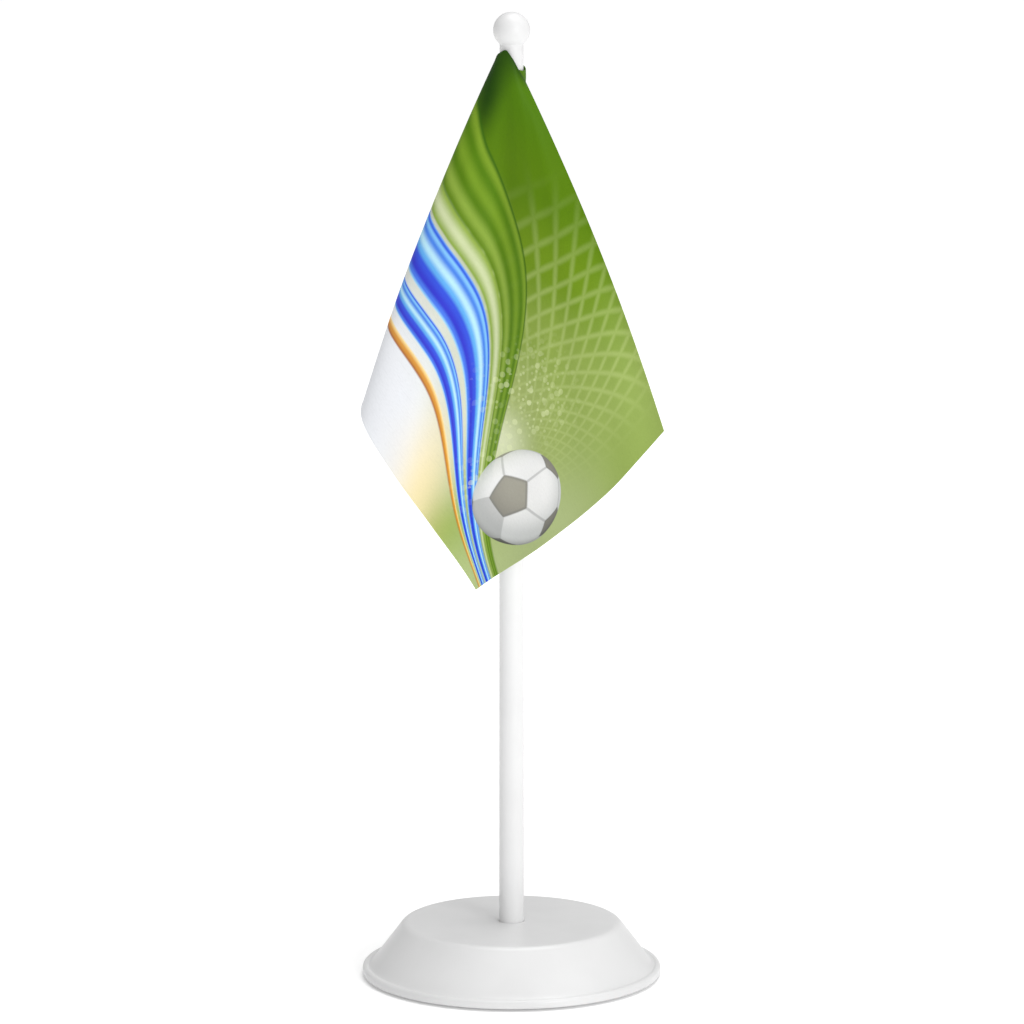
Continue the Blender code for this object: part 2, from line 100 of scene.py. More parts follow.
BALL_DIAMETER = 12.0 * MM
NECK_DIAMETER = 7.7 * MM
NECK_FILLET = 0.9 * MM
NECK_EDGE_ROUND = 0.35 * MM
SPIGOT_LENGTH = 12.0 * MM
SPIGOT_GAP = 0.2 * MM
GATE_RADIUS = 0.35 * MM  # the moulding gate's mark on top of the ball
GATE_DEPTH = 0.12 * MM
PARTING_LINE = 0.05 * MM  # how far the mould's parting line stands out
PARTING_WIDTH = 0.02  # half its width, as a share of the distance from the axis

RING_GAP = 0.2 * MM
RING_EDGE_ROUND = 0.55 * MM

# Flag
HOIST = 100.0 * MM
FLY = 150.0 * MM
CLOTH_THICKNESS = 0.22 * MM
EDGE_BEAD = 0.06 * MM  # the heat-cut edge is this much thicker on each side
EDGE_BEAD_WIDTH = 0.7 * MM
WRAP_RADIUS = 5.05 * MM
SLEEVE_THICKNESS = 0.25 * MM
SLEEVE_HEM = 3.2 * MM
HEM_THICKNESS = 0.09 * MM
HEM_STEP = 0.35 * MM
HEM_STITCHES = 13
PUCKER_HEIGHT = 0.045 * MM
SLEEVE_RIM_MIDDLE = 1.9 * MM
SLEEVE_RIM_SLANT = 2.6 * MM
SLEEVE_RIM_HIGH_SIDE = 150.0  # degrees about +Z
STITCH_PITCH = 2.4 * MM
STITCH_LENGTH = 1.9 * MM
STITCH_RADIUS = 0.22 * MM
SEAM_STITCH_LEAN = 0.04

# Taut lines of the cloth from the pole to the free edge. Each row gives:
#   where the line ends on the flat flag, as shares of FLY and HOIST
#   where it leaves the pole, in degrees about +Z, and how far below the flag's peak
#   where it ends in plan, as shares of HOIST from the axis
#   the share of its flat length that is left off the pole
DRAPE = (
    ((0.000, 1.00), 140, 2.3 * MM, (-0.039, 0.033), 1.000),
    ((0.147, 1.00), 145, 2.3 * MM, (-0.140, 0.220), 1.000),
    ((0.300, 1.00), 150, 2.3 * MM, (-0.320, 0.280), 1.000),
    ((0.440, 1.00), 165, 2.7 * MM, (-0.470, 0.150), 1.000),
    ((0.533, 1.00), 185, 2.9 * MM, (-0.497, -0.010), 0.985),
    ((0.647, 1.00), 205, 1.8 * MM, (-0.393, -0.100), 1.010),
    ((0.820, 1.00), 225, 0.8 * MM, (-0.255, -0.130), 0.995),
    ((1.000, 1.00), 245, 0.0 * MM, (-0.117, -0.130), 0.983),
    ((1.000, 0.66), 270, 2.3 * MM, (0.125, -0.280), 0.961),
    ((1.000, 0.33), 295, 6.3 * MM, (0.321, -0.400), 0.915),
    ((1.000, 0.00), 325, 9.8 * MM, (0.490, -0.420), 0.833),
)
FOLD_ROW = 4  # the row of DRAPE that runs along the fold
# How far the cloth bows off its taut lines half-way along, which way, and over what angle it fades
TOP_EDGE_BOW = 2.6 * MM
TOP_EDGE_BELLY = (0.75, -0.3, 0.55)
TOP_EDGE_REACH = math.radians(28)
FOLD_BOW = 2.0 * MM
FOLD_BELLY = (-1.0, 0.0, 0.3)
FOLD_REACH = math.radians(16)
FAN_HEIGHT = 0.17 * MM  # tension folds
SWELL_HEIGHT = 0.14 * MM
# Mesh lines from the hoist to the far lower corner and on to the top edge, and steps along each
LINES_TO_CORNER = 96
LINES_PAST_CORNER = 60
STEPS_ALONG = 84

# The print, in millimetres on the flat flag
FOOTBALL_PLACE = (131.5, 70.0)
FOOTBALL_SIZE = (15.7, 18.2)  # taller than wide, so that it reads round on the hanging cloth
FOOTBALL_SEEN_FROM = 2.5  # radii from its centre, which enlarges the near faces
FOOTBALL_TOWARDS = (-0.10, 0.12, 0.99)  # where its nearest pentagon faces: across, down and out
FOOTBALL_TWIST = 0.3
FOOTBALL_HORIZON = -0.25  # faces that point further away than this can't be seen
PENTAGON_DISTANCE = 0.962  # of a face's plane from the centre, in radii
HEXAGON_DISTANCE = 0.915
GLOW_PLACE = (112.0, 66.0)
GLOW_REACH = 130.0
NET_FOCUS = (122.0, 76.0)
NET_HOLE = 4.0  # radius round the focus inside which the net gets no finer
# Two families of the net's spirals: how many lines to a radian, and how fast they twist outward
NET_SPIRALS = ((10.5, 3.4), (-6.5, 7.2))
# The ribbons' wave runs down towards the fly and swings about its slope
WAVE_START = 10.0
WAVE_SLOPE = 0.52
SWING_HEIGHT = 7.0
SWING_RATE = 0.055
SWING_START = 0.6
# Ribbons that follow the wave and narrow towards the fly: how far each lies below the wave and half its
# width, both at the hoist, and the name of its colours
RIBBONS = (
    (-3.0, 7.0, "green"),
    (7.5, 3.0, "pale"),
    (19.0, 7.5, "blue"),
    (34.0, 4.5, "blue"),
    (44.0, 1.8, "gold"),
)
RIBBON_AT_FLY = 0.15  # share of its width at the hoist
RIBBON_OPACITY = 0.95
RIBBON_SOFT_EDGE = 0.35


# ---------------------------------------------------------------- meshes


def link(name, mesh, *finishes):
    """A new object in the scene, with its materials."""
    for finish in finishes:
        mesh.materials.append(finish)
    made = bpy.data.objects.new(name, mesh)
    bpy.context.scene.collection.objects.link(made)
    return made


def turned(outline, steps=160):
    """A closed outline of (radius, height) points, turned about Z, as a bmesh."""
    bm = bmesh.new()
    points = [bm.verts.new((radius, 0, height)) for radius, height in outline]
    edges = []
    for i, (radius, _) in enumerate(outline):
        following = (i + 1) % len(outline)
        if radius > 0 or outline[following][0] > 0:
            edges.append(bm.edges.new((points[i], points[following])))
    bmesh.ops.spin(
        bm,
        geom=points + edges,
        axis=(0, 0, 1),
        cent=(0, 0, 0),
        steps=steps,
        angle=2 * math.pi,
        use_merge=True,
    )
    bmesh.ops.remove_doubles(bm, verts=bm.verts, dist=1e-7)
    bmesh.ops.recalc_face_normals(bm, faces=bm.faces)
    return bm


def smooth_object(name, bm, finish, sharp_above=40):
    mesh = bpy.data.meshes.new(name)
    bm.to_mesh(mesh)
    bm.free()
    mesh.shade_smooth()
    mesh.set_sharp_from_angle(angle=math.radians(sharp_above))
    return link(name, mesh, finish)


def arc(centre, radius, start, end, steps):
    angles = np.radians(np.linspace(start, end, steps + 1))
    return [(centre[0] + radius * math.cos(a), centre[1] + radius * math.sin(a)) for a in angles]


def rounded(corner, before, after, length, steps=8):
    """A corner of an outline, rounded from length before it to length after it."""
    return eased(corner, before, after, (length, length), steps)


def eased(corner, before, after, lengths, steps=8):
    """A corner of an outline, rounded by a different length on each side."""
    corner, before, after = Vector(corner), Vector(before), Vector(after)
    start = corner + (before - corner).normalized() * lengths[0]
    end = corner + (after - corner).normalized() * lengths[1]
    shares = [i / steps for i in range(steps + 1)]
    return [tuple((1 - t) ** 2 * start + 2 * t * (1 - t) * corner + t**2 * end) for t in shares]


def all_rounded(outline, length, steps=4):
    """The outline with each corner off the axis rounded by the same length."""
    made = []
    for i, corner in enumerate(outline):
        if corner[0] == 0:
            made.append(corner)
        else:
            made += rounded(corner, outline[i - 1], outline[(i + 1) % len(outline)], length, steps)
    return made


def grid_faces(rows, columns, first=0, closed=False, flip=False):
    """Quads of a grid of points laid out row by row; closed joins the last row to the first."""
    faces = []
    for i in range(rows if closed else rows - 1):
        following = (i + 1) % rows
        for j in range(columns - 1):
            a = first + i * columns + j
            b = first + following * columns + j
            quad = (a, b, b + 1, a + 1)
            faces.append(quad[::-1] if flip else quad)
    return faces


def face_outward(mesh):
    bm = bmesh.new()
    bm.from_mesh(mesh)
    bmesh.ops.recalc_face_normals(bm, faces=bm.faces)
    bm.to_mesh(mesh)
    bm.free()


# ---------------------------------------------------------------- the cloth's shape


def blended(at, places, rows):
    """Rows blended smoothly between their places by cubic Hermite spans, for many places at once."""
    slopes = np.gradient(rows, places, axis=0)
    span = np.clip(np.searchsorted(places, at) - 1, 0, len(places) - 2)
    width = (places[span + 1] - places[span])[:, None]
    t = (at - places[span])[:, None] / width
    return (
        (2 * t**3 - 3 * t**2 + 1) * rows[span]
        + (t**3 - 2 * t**2 + t) * width * slopes[span]
        + (3 * t**2 - 2 * t**3) * rows[span + 1]
        + (t**3 - t**2) * width * slopes[span + 1]
    )


def drape_rows(peak):
    """The taut lines of DRAPE: their angles on the flat flag, and their starts, directions and shares."""
    angles = []
    rows = []
    for (fly, hoist), azimuth, drop, (x, y), share in DRAPE:
        flat = math.hypot(fly * FLY, hoist * HOIST)
        turn = math.radians(azimuth)
        start = Vector((WRAP_RADIUS * math.cos(turn), WRAP_RADIUS * math.sin(turn), peak - drop))
        across = Vector((x * HOIST - start.x, y * HOIST - start.y, 0))
        down = math.sqrt((share * flat) ** 2 - across.length_squared)
        direction = (across - Vector((0, 0, down))).normalized()
        angles.append(math.atan2(fly * FLY, hoist * HOIST))
        rows.append((*start, *direction, share))
    return np.array(angles), np.array(rows)


def cloth_grid(peak):
    """Middle surface of the draped flag and its place on the flat flag: two grids, line by line."""
    places, rows = drape_rows(peak)
    corner = math.atan2(FLY, HOIST)
    to_corner = np.linspace(0, corner, LINES_TO_CORNER + 1)
    past_corner = np.linspace(corner, math.pi / 2, LINES_PAST_CORNER + 1)[1:]
    angles = np.concatenate([to_corner, past_corner])
    made = blended(angles, places, rows)
    start, direction, share = made[:, 0:3], made[:, 3:6], made[:, 6]
    direction = direction / np.linalg.norm(direction, axis=1)[:, None]
    with np.errstate(divide="ignore"):
        flat = np.where(angles <= corner, HOIST / np.cos(angles), FLY / np.sin(angles))
    top = np.maximum(0, 1 - (math.pi / 2 - angles) / TOP_EDGE_REACH) ** 2
    fold = np.exp(-(((angles - places[FOLD_ROW]) / FOLD_REACH) ** 2))
    belly = np.outer(top * TOP_EDGE_BOW, TOP_EDGE_BELLY) + np.outer(fold * FOLD_BOW, FOLD_BELLY)
    t = np.linspace(0, 1, STEPS_ALONG + 1)[None, :, None]
    length = (share * flat)[:, None, None]
    points = start[:, None] + t * length * direction[:, None] + 4 * t * (1 - t) * belly[:, None]
    reach = t[:, :, 0] * flat[:, None]
    on_flat = np.stack([reach * np.sin(angles)[:, None], reach * np.cos(angles)[:, None]], axis=2)
    return points, on_flat, angles


def printed_normals(points):
    """Unit normals on the printed side."""
    along = np.gradient(points, axis=1)
    across = np.gradient(points, axis=0)
    normals = np.cross(along, across)
    return normals / np.maximum(np.linalg.norm(normals, axis=2), 1e-12)[:, :, None]


def cloth_relief(on_flat, angles):
    """Soft tension folds that fan out from the hoist's top corner and fade in along the cloth."""
    reach = np.linalg.norm(on_flat, axis=2) / FLY
    turn = angles[:, None]
    fan = np.sin(turn * 27 + 0.6) + 0.55 * np.sin(turn * 44 + 5 * reach + 2.1)
    swell = np.sin(on_flat[:, :, 0] / (19 * MM) + 1.3) * np.sin(on_flat[:, :, 1] / (13 * MM) + 0.4)
    return (FAN_HEIGHT * fan + SWELL_HEIGHT * swell) * np.clip(reach * 1.6, 0, 1)


def edge_distance(on_flat):
    """How far each point of the flat flag is from a cut edge. The hoist is sewn, not cut."""
    x, y = on_flat[:, :, 0], on_flat[:, :, 1]
    return np.minimum(np.minimum(FLY - x, y), HOIST - y)


def make_flag(front, back, edge):
    """The draped cloth as one closed skin: printed front, reverse, and the cut edge round them."""
    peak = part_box("hoist_sleeve")[1].z + SLEEVE_RIM_MIDDLE - SLEEVE_RIM_SLANT + DRAPE[0][2]
    points, on_flat, angles = cloth_grid(peak)
    normals = printed_normals(points)
    points = points + normals * cloth_relief(on_flat, angles)[:, :, None]
    normals = printed_normals(points)
    bead = EDGE_BEAD * np.clip(1 - edge_distance(on_flat) / EDGE_BEAD_WIDTH, 0, 1)
    half = (CLOTH_THICKNESS / 2 + bead)[:, :, None]
    rows, columns = points.shape[:2]
    count = rows * columns
    skins = (points + half * normals, points - half * normals)
    vertices = np.concatenate([skin.reshape(-1, 3) for skin in skins])
    front_faces = grid_faces(rows, columns, flip=True)
    back_faces = grid_faces(rows, columns, first=count)
    border = [i * columns for i in range(rows)]
    border += [(rows - 1) * columns + j for j in range(1, columns)]
    border += [i * columns + columns - 1 for i in range(rows - 2, -1, -1)]
    border += list(range(columns - 2, 0, -1))
    rim = [(b, a, a + count, b + count) for a, b in zip(border, border[1:] + border[:1])]
    mesh = bpy.data.meshes.new("flag_cloth")
    mesh.from_pydata(vertices.tolist(), [], front_faces + back_faces + rim)
    kinds = [0] * len(front_faces) + [1] * len(back_faces) + [2] * len(rim)
    mesh.polygons.foreach_set("material_index", kinds)
    flat = np.concatenate([on_flat.reshape(-1, 2)] * 2)
    uv = np.stack([flat[:, 0] / FLY, 1 - flat[:, 1] / HOIST], axis=1)
    loops = np.zeros(len(mesh.loops), np.int32)
    mesh.loops.foreach_get("vertex_index", loops)
    layer = mesh.uv_layers.new(name="Print")
    layer.data.foreach_set("uv", uv[loops].astype(np.float32).ravel())
    mesh.shade_smooth()
    mesh.set_sharp_from_angle(angle=math.radians(50))
    mesh.validate()
    face_outward(mesh)
    return link("flag_cloth", mesh, front, back, edge)


def make_sleeve(finish):
    """The tube of satin round the pole, hemmed at both ends, with small crosswise puckers."""
    low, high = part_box("hoist_sleeve")
    bore = high.x - SLEEVE_THICKNESS
    middle = high.z - SLEEVE_RIM_SLANT
    high_side = math.radians(SLEEVE_RIM_HIGH_SIDE)
    turns, levels = 96, 100
    azimuth = np.linspace(0, 2 * math.pi, turns, endpoint=False)[:, None]
    share = np.linspace(0, 1, levels)[None, :]
    top = middle + SLEEVE_RIM_SLANT * np.cos(azimuth - high_side)
    z = low.z + share * (top - low.z)
    from_rim = np.minimum(z - low.z, top - z)
    hem = HEM_THICKNESS * np.clip((SLEEVE_HEM - from_rim) / HEM_STEP, 0, 1)
    puckers = np.sin(z / (1.9 * MM) + 2.2 * np.sin(2 * azimuth)) * np.sin(3 * azimuth + z / (11 * MM))
    relief = PUCKER_HEIGHT * (puckers + 1) * np.clip(from_rim / SLEEVE_HEM, 0, 1)
    outer = bore + SLEEVE_THICKNESS + hem + relief
    inner = np.full_like(outer, bore)
    rings = [np.stack([r * np.cos(azimuth), r * np.sin(azimuth), z], axis=2) for r in (outer, inner)]
    count = turns * levels
    faces = grid_faces(turns, levels, closed=True)
    faces += grid_faces(turns, levels, first=count, closed=True, flip=True)
    for i in range(turns):
        following = (i + 1) % turns
        for j in (0, levels - 1):
            a, b = i * levels + j, following * levels + j
            quad = (a, a + count, b + count, b)
            faces.append(quad if j == 0 else quad[::-1])
    mesh = bpy.data.meshes.new("sleeve_cloth")
    mesh.from_pydata(np.concatenate(rings).reshape(-1, 3).tolist(), [], faces)
    face_outward(mesh)
    mesh.shade_smooth()
    mesh.set_sharp_from_angle(angle=math.radians(50))
    return link("sleeve_cloth", mesh, finish)


def stitch_row(name, places, finish):
    """Plump stitches, each at a place and along a direction."""
    bm = bmesh.new()
    for place, direction in places:
        turn = Vector(direction).to_track_quat("Z", "Y").to_matrix().to_4x4()
        size = Matrix.Diagonal((STITCH_RADIUS, STITCH_RADIUS, STITCH_LENGTH / 2, 1))
        matrix = Matrix.Translation(place) @ turn @ size
        bmesh.ops.create_uvsphere(bm, u_segments=8, v_segments=8, radius=1, matrix=matrix)
    return smooth_object(name, bm, finish, 80)


def make_stitches(finish):
    """The seam beside the hoist, and a row round the sleeve's lower hem."""
    low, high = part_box("sleeve_seam")
    x, y = (low.x + high.x) / 2, (low.y + high.y) / 2
    count = int((high.z - low.z) / STITCH_PITCH)
    heights = [low.z + STITCH_PITCH * (i + 0.5) for i in range(count)]
    seam = stitch_row("sleeve_stitches", [((x, y, z), (SEAM_STITCH_LEAN, 0, 1)) for z in heights], finish)
    sleeve_low, sleeve_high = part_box("hoist_sleeve")
    radius = sleeve_high.x + HEM_THICKNESS + STITCH_RADIUS * 0.4
    ring = []
    for i in range(HEM_STITCHES):
        angle = 2 * math.pi * (i + 0.5) / HEM_STITCHES
        place = (radius * math.cos(angle), radius * math.sin(angle), sleeve_low.z + SLEEVE_HEM * 0.6)
        ring.append((place, (-math.sin(angle), math.cos(angle), 0)))
    hem = stitch_row("hem_stitches", ring, finish)
    return seam, hem


# ---------------------------------------------------------------- the hard pieces


def make_base(finish):
    """The moulded housing: top disc, skirt, rolled bead, and the socket for the pole."""
    low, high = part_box("base_shell")
    rim, height, radius = low.z, high.z, high.x
    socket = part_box("pole_tube")[1].x + SOCKET_GAP
    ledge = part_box("base_cover")[0].z + LEDGE_RISE
    crease_radius = radius - BEAD_WIDTH
    crease = (crease_radius, rim + CREASE_RISE)
    bead = BEAD_WIDTH / 2
    bead_centre = (radius - bead, rim + BEAD_RISE - bead)
    rim_centre = (radius - RIM_ROUND, rim + RIM_ROUND)
    recess = crease_radius - SHELL_WALL / 2
    underside = height - SHELL_WALL
    skirt = Vector(crease) - Vector((TOP_RADIUS, height))
    inward = Vector((skirt.y, -skirt.x)).normalized() * SHELL_WALL
    slope = skirt.x / skirt.y

    def inside_at(z):
        return TOP_RADIUS + inward.x + (z - height - inward.y) * slope

    outline = [(socket, height - SOCKET_EDGE), (socket + SOCKET_EDGE, height)]
    outline += rounded((TOP_RADIUS, height), (0, height), crease, TOP_EDGE_ROUND, 10)
    crown = arc(bead_centre, bead, 118, 0, 14)
    outline += eased(crease, (TOP_RADIUS, height), crown[0], CREASE_SOFTNESS, 12)
    outline += crown
    outline += arc(rim_centre, RIM_ROUND, 0, -90, 8)
    outline += [
        (recess, rim),
        (recess, ledge),
        (inside_at(ledge), ledge),
        (inside_at(underside), underside),
        (socket + SOCKET_WALL, underside),
        (socket + SOCKET_WALL, ledge),
        (0, ledge),
        (0, SOCKET_FLOOR),
        (socket, SOCKET_FLOOR),
    ]
    return smooth_object("base_housing", turned(outline, 192), finish, 32)


def make_pad(finish):
    """The foam pad, with a soft edge and round grip grooves in its underside."""
    low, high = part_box("anti_slip_pad")
    radius = high.x
    outline = [(0, low.z)]
    for i in range(1, PAD_GROOVES + 1):
        middle = radius * i / (PAD_GROOVES + 1)
        half = PAD_GROOVE_WIDTH / 2
        floor = low.z + PAD_GROOVE_DEPTH
        outline += [(middle - half, low.z), (middle - half / 2, floor), (middle + half / 2, floor)]
        outline += [(middle + half, low.z)]
    outline += rounded((radius, low.z), (0, low.z), (radius, high.z), PAD_EDGE_ROUND, 5)
    outline += rounded((radius, high.z), (radius, low.z), (0, high.z), PAD_EDGE_ROUND, 5)
    outline += [(0, high.z)]
    return smooth_object("anti_slip_foam", turned(outline, 144), finish, 30)


def make_pole(finish):
    """The tube, with its ends lightly rounded."""
    low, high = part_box("pole_tube")
    bore = high.x - POLE_WALL
    outline = [(bore, low.z), (high.x, low.z), (high.x, high.z), (bore, high.z)]
    return smooth_object("pole_rod", turned(all_rounded(outline, POLE_EDGE), 96), finish, 50)


def make_finial(finish):
    """Ball, neck and spigot, with a fillet under the ball and the mould's parting line."""
    low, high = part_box("finial")
    ball = BALL_DIAMETER / 2
    neck = NECK_DIAMETER / 2
    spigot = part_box("pole_tube")[1].x - POLE_WALL - SPIGOT_GAP
    shoulder = low.z + SPIGOT_LENGTH
    centre = high.z - ball
    fillet_x = neck + NECK_FILLET
    fillet_z = centre - math.sqrt((ball + NECK_FILLET) ** 2 - fillet_x**2)
    touch = math.degrees(math.atan2(fillet_z - centre, fillet_x))
    outline = [(0, low.z), (spigot * 0.85, low.z), (spigot, low.z + spigot * 0.5), (spigot, shoulder)]
    outline += rounded((neck, shoulder), (spigot, shoulder), (neck, shoulder + 1), NECK_EDGE_ROUND, 5)
    outline += arc((fillet_x, fillet_z), NECK_FILLET, 180, 180 + touch, 8)
    outline += arc((0, centre), ball, touch, 86, 40)[1:]
    gate_floor = high.z - GATE_DEPTH
    outline += [(GATE_RADIUS, high.z - 0.03 * MM), (GATE_RADIUS - 0.05 * MM, gate_floor)]
    outline += [(0, gate_floor)]
    bm = turned(outline, 128)
    for vert in bm.verts:
        radius = math.hypot(vert.co.x, vert.co.y)
        if vert.co.z > shoulder and radius > 1 * MM and abs(vert.co.y) < PARTING_WIDTH * radius:
            vert.co.x *= 1 + PARTING_LINE / radius
    return smooth_object("finial_knob", bm, finish, 50)


def make_stop_ring(finish):
    """The rubber ring, well rounded."""
    low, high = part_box("flag_stop_ring")
    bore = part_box("pole_tube")[1].x + RING_GAP
    outline = [(bore, low.z), (high.x, low.z), (high.x, high.z), (bore, high.z)]
    outline = all_rounded(outline, RING_EDGE_ROUND, 6)
    return smooth_object("stop_ring_rubber", turned(outline, 96), finish, 60)


# ---------------------------------------------------------------- node arithmetic


class Field:
    """A number that varies over a surface. Arithmetic on it adds nodes."""

    def __init__(self, tree, socket):
        self.tree = tree
        self.socket = socket

    def node(self, operation, *values):
        node = self.tree.nodes.new("ShaderNodeMath")
        node.operation = operation
        for slot, value in zip(node.inputs, values):
            plug(self.tree, slot, value)
        return Field(self.tree, node.outputs[0])

    def __add__(self, other):
        return self.node("ADD", self, other)

    def __sub__(self, other):
        return self.node("SUBTRACT", self, other)

    def __rsub__(self, other):
        return self.node("SUBTRACT", other, self)

    def __mul__(self, other):
        return self.node("MULTIPLY", self, other)

    def __truediv__(self, other):
        return self.node("DIVIDE", self, other)

    __radd__ = __add__
    __rmul__ = __mul__

    def apply(self, operation, *others):
        return self.node(operation, self, *others)

    def rise(self, low, high):
        """0 below low, 1 above high, and smooth between; low above high turns it round."""
        if low > high:
            return 1 - self.rise(high, low)
        node = self.tree.nodes.new("ShaderNodeMapRange")
        node.interpolation_type = "SMOOTHSTEP"
        plug(self.tree, node.inputs["Value"], self)
        node.inputs["From Min"].default_value = low
        node.inputs["From Max"].default_value = high
        return Field(self.tree, node.outputs["Result"])

    def bump_at(self, middle, width):
        """1 at middle, falling smoothly to 0 at width to each side."""
        return (self - middle).apply("ABSOLUTE").rise(width, 0)


def plug(tree, slot, value):
    """Links a field or a socket to a slot, or sets the slot's number or colour."""
    if isinstance(value, Field):
        tree.links.new(value.socket, slot)
    elif isinstance(value, bpy.types.NodeSocket):
        tree.links.new(value, slot)
    elif isinstance(value, tuple):
        slot.default_value = value if len(value) != 3 or slot.type == "VECTOR" else (*value, 1.0)
    else:
        slot.default_value = value


def over(tree, below, above, share):
    """One colour laid over another by a share."""
    node = tree.nodes.new("ShaderNodeMix")
    node.data_type = "RGBA"
    plug(tree, node.inputs[0], share)
    plug(tree, node.inputs[6], below)
    plug(tree, node.inputs[7], above)
    return node.outputs[2]


def ramp(tree, field, stops):
    """A colour read off a ramp of (place, colour) stops."""
    node = tree.nodes.new("ShaderNodeValToRGB")
    node.color_ramp.interpolation = "EASE"
    elements = node.color_ramp.elements
    for _ in range(len(stops) - 2):
        elements.new(0.5)
    for element, (place, colour) in zip(elements, stops):
        element.position = place
        element.color = (*colour, 1.0)
    plug(tree, node.inputs["Fac"], field)
    return node.outputs["Color"]


def noise(tree, vector, scale, detail=3.0, roughness=0.5):
    """Cloudy noise over a surface, 0 to 1."""
    node = tree.nodes.new("ShaderNodeTexNoise")
    plug(tree, node.inputs["Vector"], vector)
    node.inputs["Scale"].default_value = scale
    node.inputs["Detail"].default_value = detail
    node.inputs["Roughness"].default_value = roughness
    return Field(tree, node.outputs["Fac"])


def stretched(tree, vector, scale):
    """Coordinates multiplied by a scale for each axis."""
    node = tree.nodes.new("ShaderNodeMapping")
    plug(tree, node.inputs["Vector"], vector)
    node.inputs["Scale"].default_value = scale
    return node.outputs["Vector"]


def srgb(red, green, blue):
    """A colour given as the eye sees it, 0 to 255, for a shader."""
    values = [c / 255 for c in (red, green, blue)]
    return tuple(c / 12.92 if c <= 0.04045 else ((c + 0.055) / 1.055) ** 2.4 for c in values)


def finish_of(name, **settings):
    """A new Principled material and its tree, shader and object coordinates. Settings are the shader's
    sockets, in small letters."""
    made = bpy.data.materials.new(name)
    made.use_nodes = True
    tree = made.node_tree
    shader = tree.nodes["Principled BSDF"]
    for setting, value in settings.items():
        plug(tree, shader.inputs[setting.replace("_", " ").title().replace("Ior", "IOR")], value)
    place = tree.nodes.new("ShaderNodeTexCoord").outputs["Object"]
    return made, tree, shader, place


def darkened(colour, share):
    return tuple(c * share for c in colour)


def bumped(tree, shader, height, distance, strength):
    """Gives a shader fine relief that needs no geometry."""
    node = tree.nodes.new("ShaderNodeBump")
    node.inputs["Strength"].default_value = strength
    node.inputs["Distance"].default_value = distance
    plug(tree, node.inputs["Height"], height)
    plug(tree, shader.inputs["Normal"], node.outputs["Normal"])


# ---------------------------------------------------------------- plastics, metal, foam


def plastic(name, colour, roughness, along_pole=False):
    """White plastic, moulded or drawn along the pole: faint relief, uneven gloss and a few scuffs."""
    made, tree, shader, place = finish_of(name, specular_ior_level=0.5)
    grain, grain_scale = place, 900.0
    if along_pole:
        grain, grain_scale = stretched(tree, place, (1.0, 1.0, 0.03)), 1500.0
    cloud = noise(tree, place, scale=38.0, detail=4.0)
    peel = noise(tree, grain, scale=grain_scale, detail=2.0)
    wiped = stretched(tree, place, (1.0, 1.0, 6.0))
    scuffs = noise(tree, wiped, scale=260.0, detail=6.0, roughness=0.7).rise(0.62, 0.74)
    base = over(tree, colour, darkened(colour, 0.955), cloud.rise(0.35, 0.7))
    base = over(tree, base, darkened(colour, 0.90), scuffs * 0.35)
    plug(tree, shader.inputs["Base Color"], base)
    plug(tree, shader.inputs["Roughness"], cloud * 0.08 + scuffs * 0.12 + (roughness - 0.04))
    bumped(tree, shader, peel + scuffs * 0.4, distance=0.012 * MM, strength=0.5)
    return made


def textured_plastic(name, colour, roughness):
    """Spark-eroded plastic, for pieces that show little."""
    made, tree, shader, place = finish_of(name)
    grain = noise(tree, place, scale=2200.0)
    base = over(tree, colour, darkened(colour, 0.9), grain.rise(0.4, 0.6))
    plug(tree, shader.inputs["Base Color"], base)
    plug(tree, shader.inputs["Roughness"], grain * 0.15 + (roughness - 0.07))
    bumped(tree, shader, grain, distance=0.05 * MM, strength=0.6)
    return made


def plated_steel(name, colour, roughness, flake):
    """Zinc-plated steel with its spangle and fine machining."""
    made, tree, shader, place = finish_of(name, metallic=1.0)
    spangle = tree.nodes.new("ShaderNodeTexVoronoi")
    plug(tree, spangle.inputs["Vector"], place)
    spangle.inputs["Scale"].default_value = flake
    tone = Field(tree, spangle.outputs["Distance"])
    fine = noise(tree, stretched(tree, place, (1.0, 12.0, 1.0)), scale=500.0, detail=4.0)
    base = over(tree, colour, darkened(colour, 0.72), tone.rise(0.1, 0.7))
    plug(tree, shader.inputs["Base Color"], base)
    plug(tree, shader.inputs["Roughness"], fine * 0.2 + (roughness - 0.1))
    bumped(tree, shader, fine, distance=0.02 * MM, strength=0.5)
    return made


def cellular(name, colour, roughness, scale, depth):
    """Foam or matt rubber: small closed cells, with lighter walls."""
    made, tree, shader, place = finish_of(name)
    cells = tree.nodes.new("ShaderNodeTexVoronoi")
    plug(tree, cells.inputs["Vector"], place)
    cells.inputs["Scale"].default_value = scale
    wall = Field(tree, cells.outputs["Distance"])
    dust = noise(tree, place, scale=60.0, detail=5.0)
    lighter = tuple(min(1.0, c * 1.5 + 0.02) for c in colour)
    base = over(tree, colour, lighter, wall.rise(0.3, 0.8) * dust.rise(0.3, 0.7))
    plug(tree, shader.inputs["Base Color"], base)
    plug(tree, shader.inputs["Roughness"], dust * 0.1 + (roughness - 0.05))
    bumped(tree, shader, wall, distance=depth, strength=0.7)
    return made


# ---------------------------------------------------------------- the print


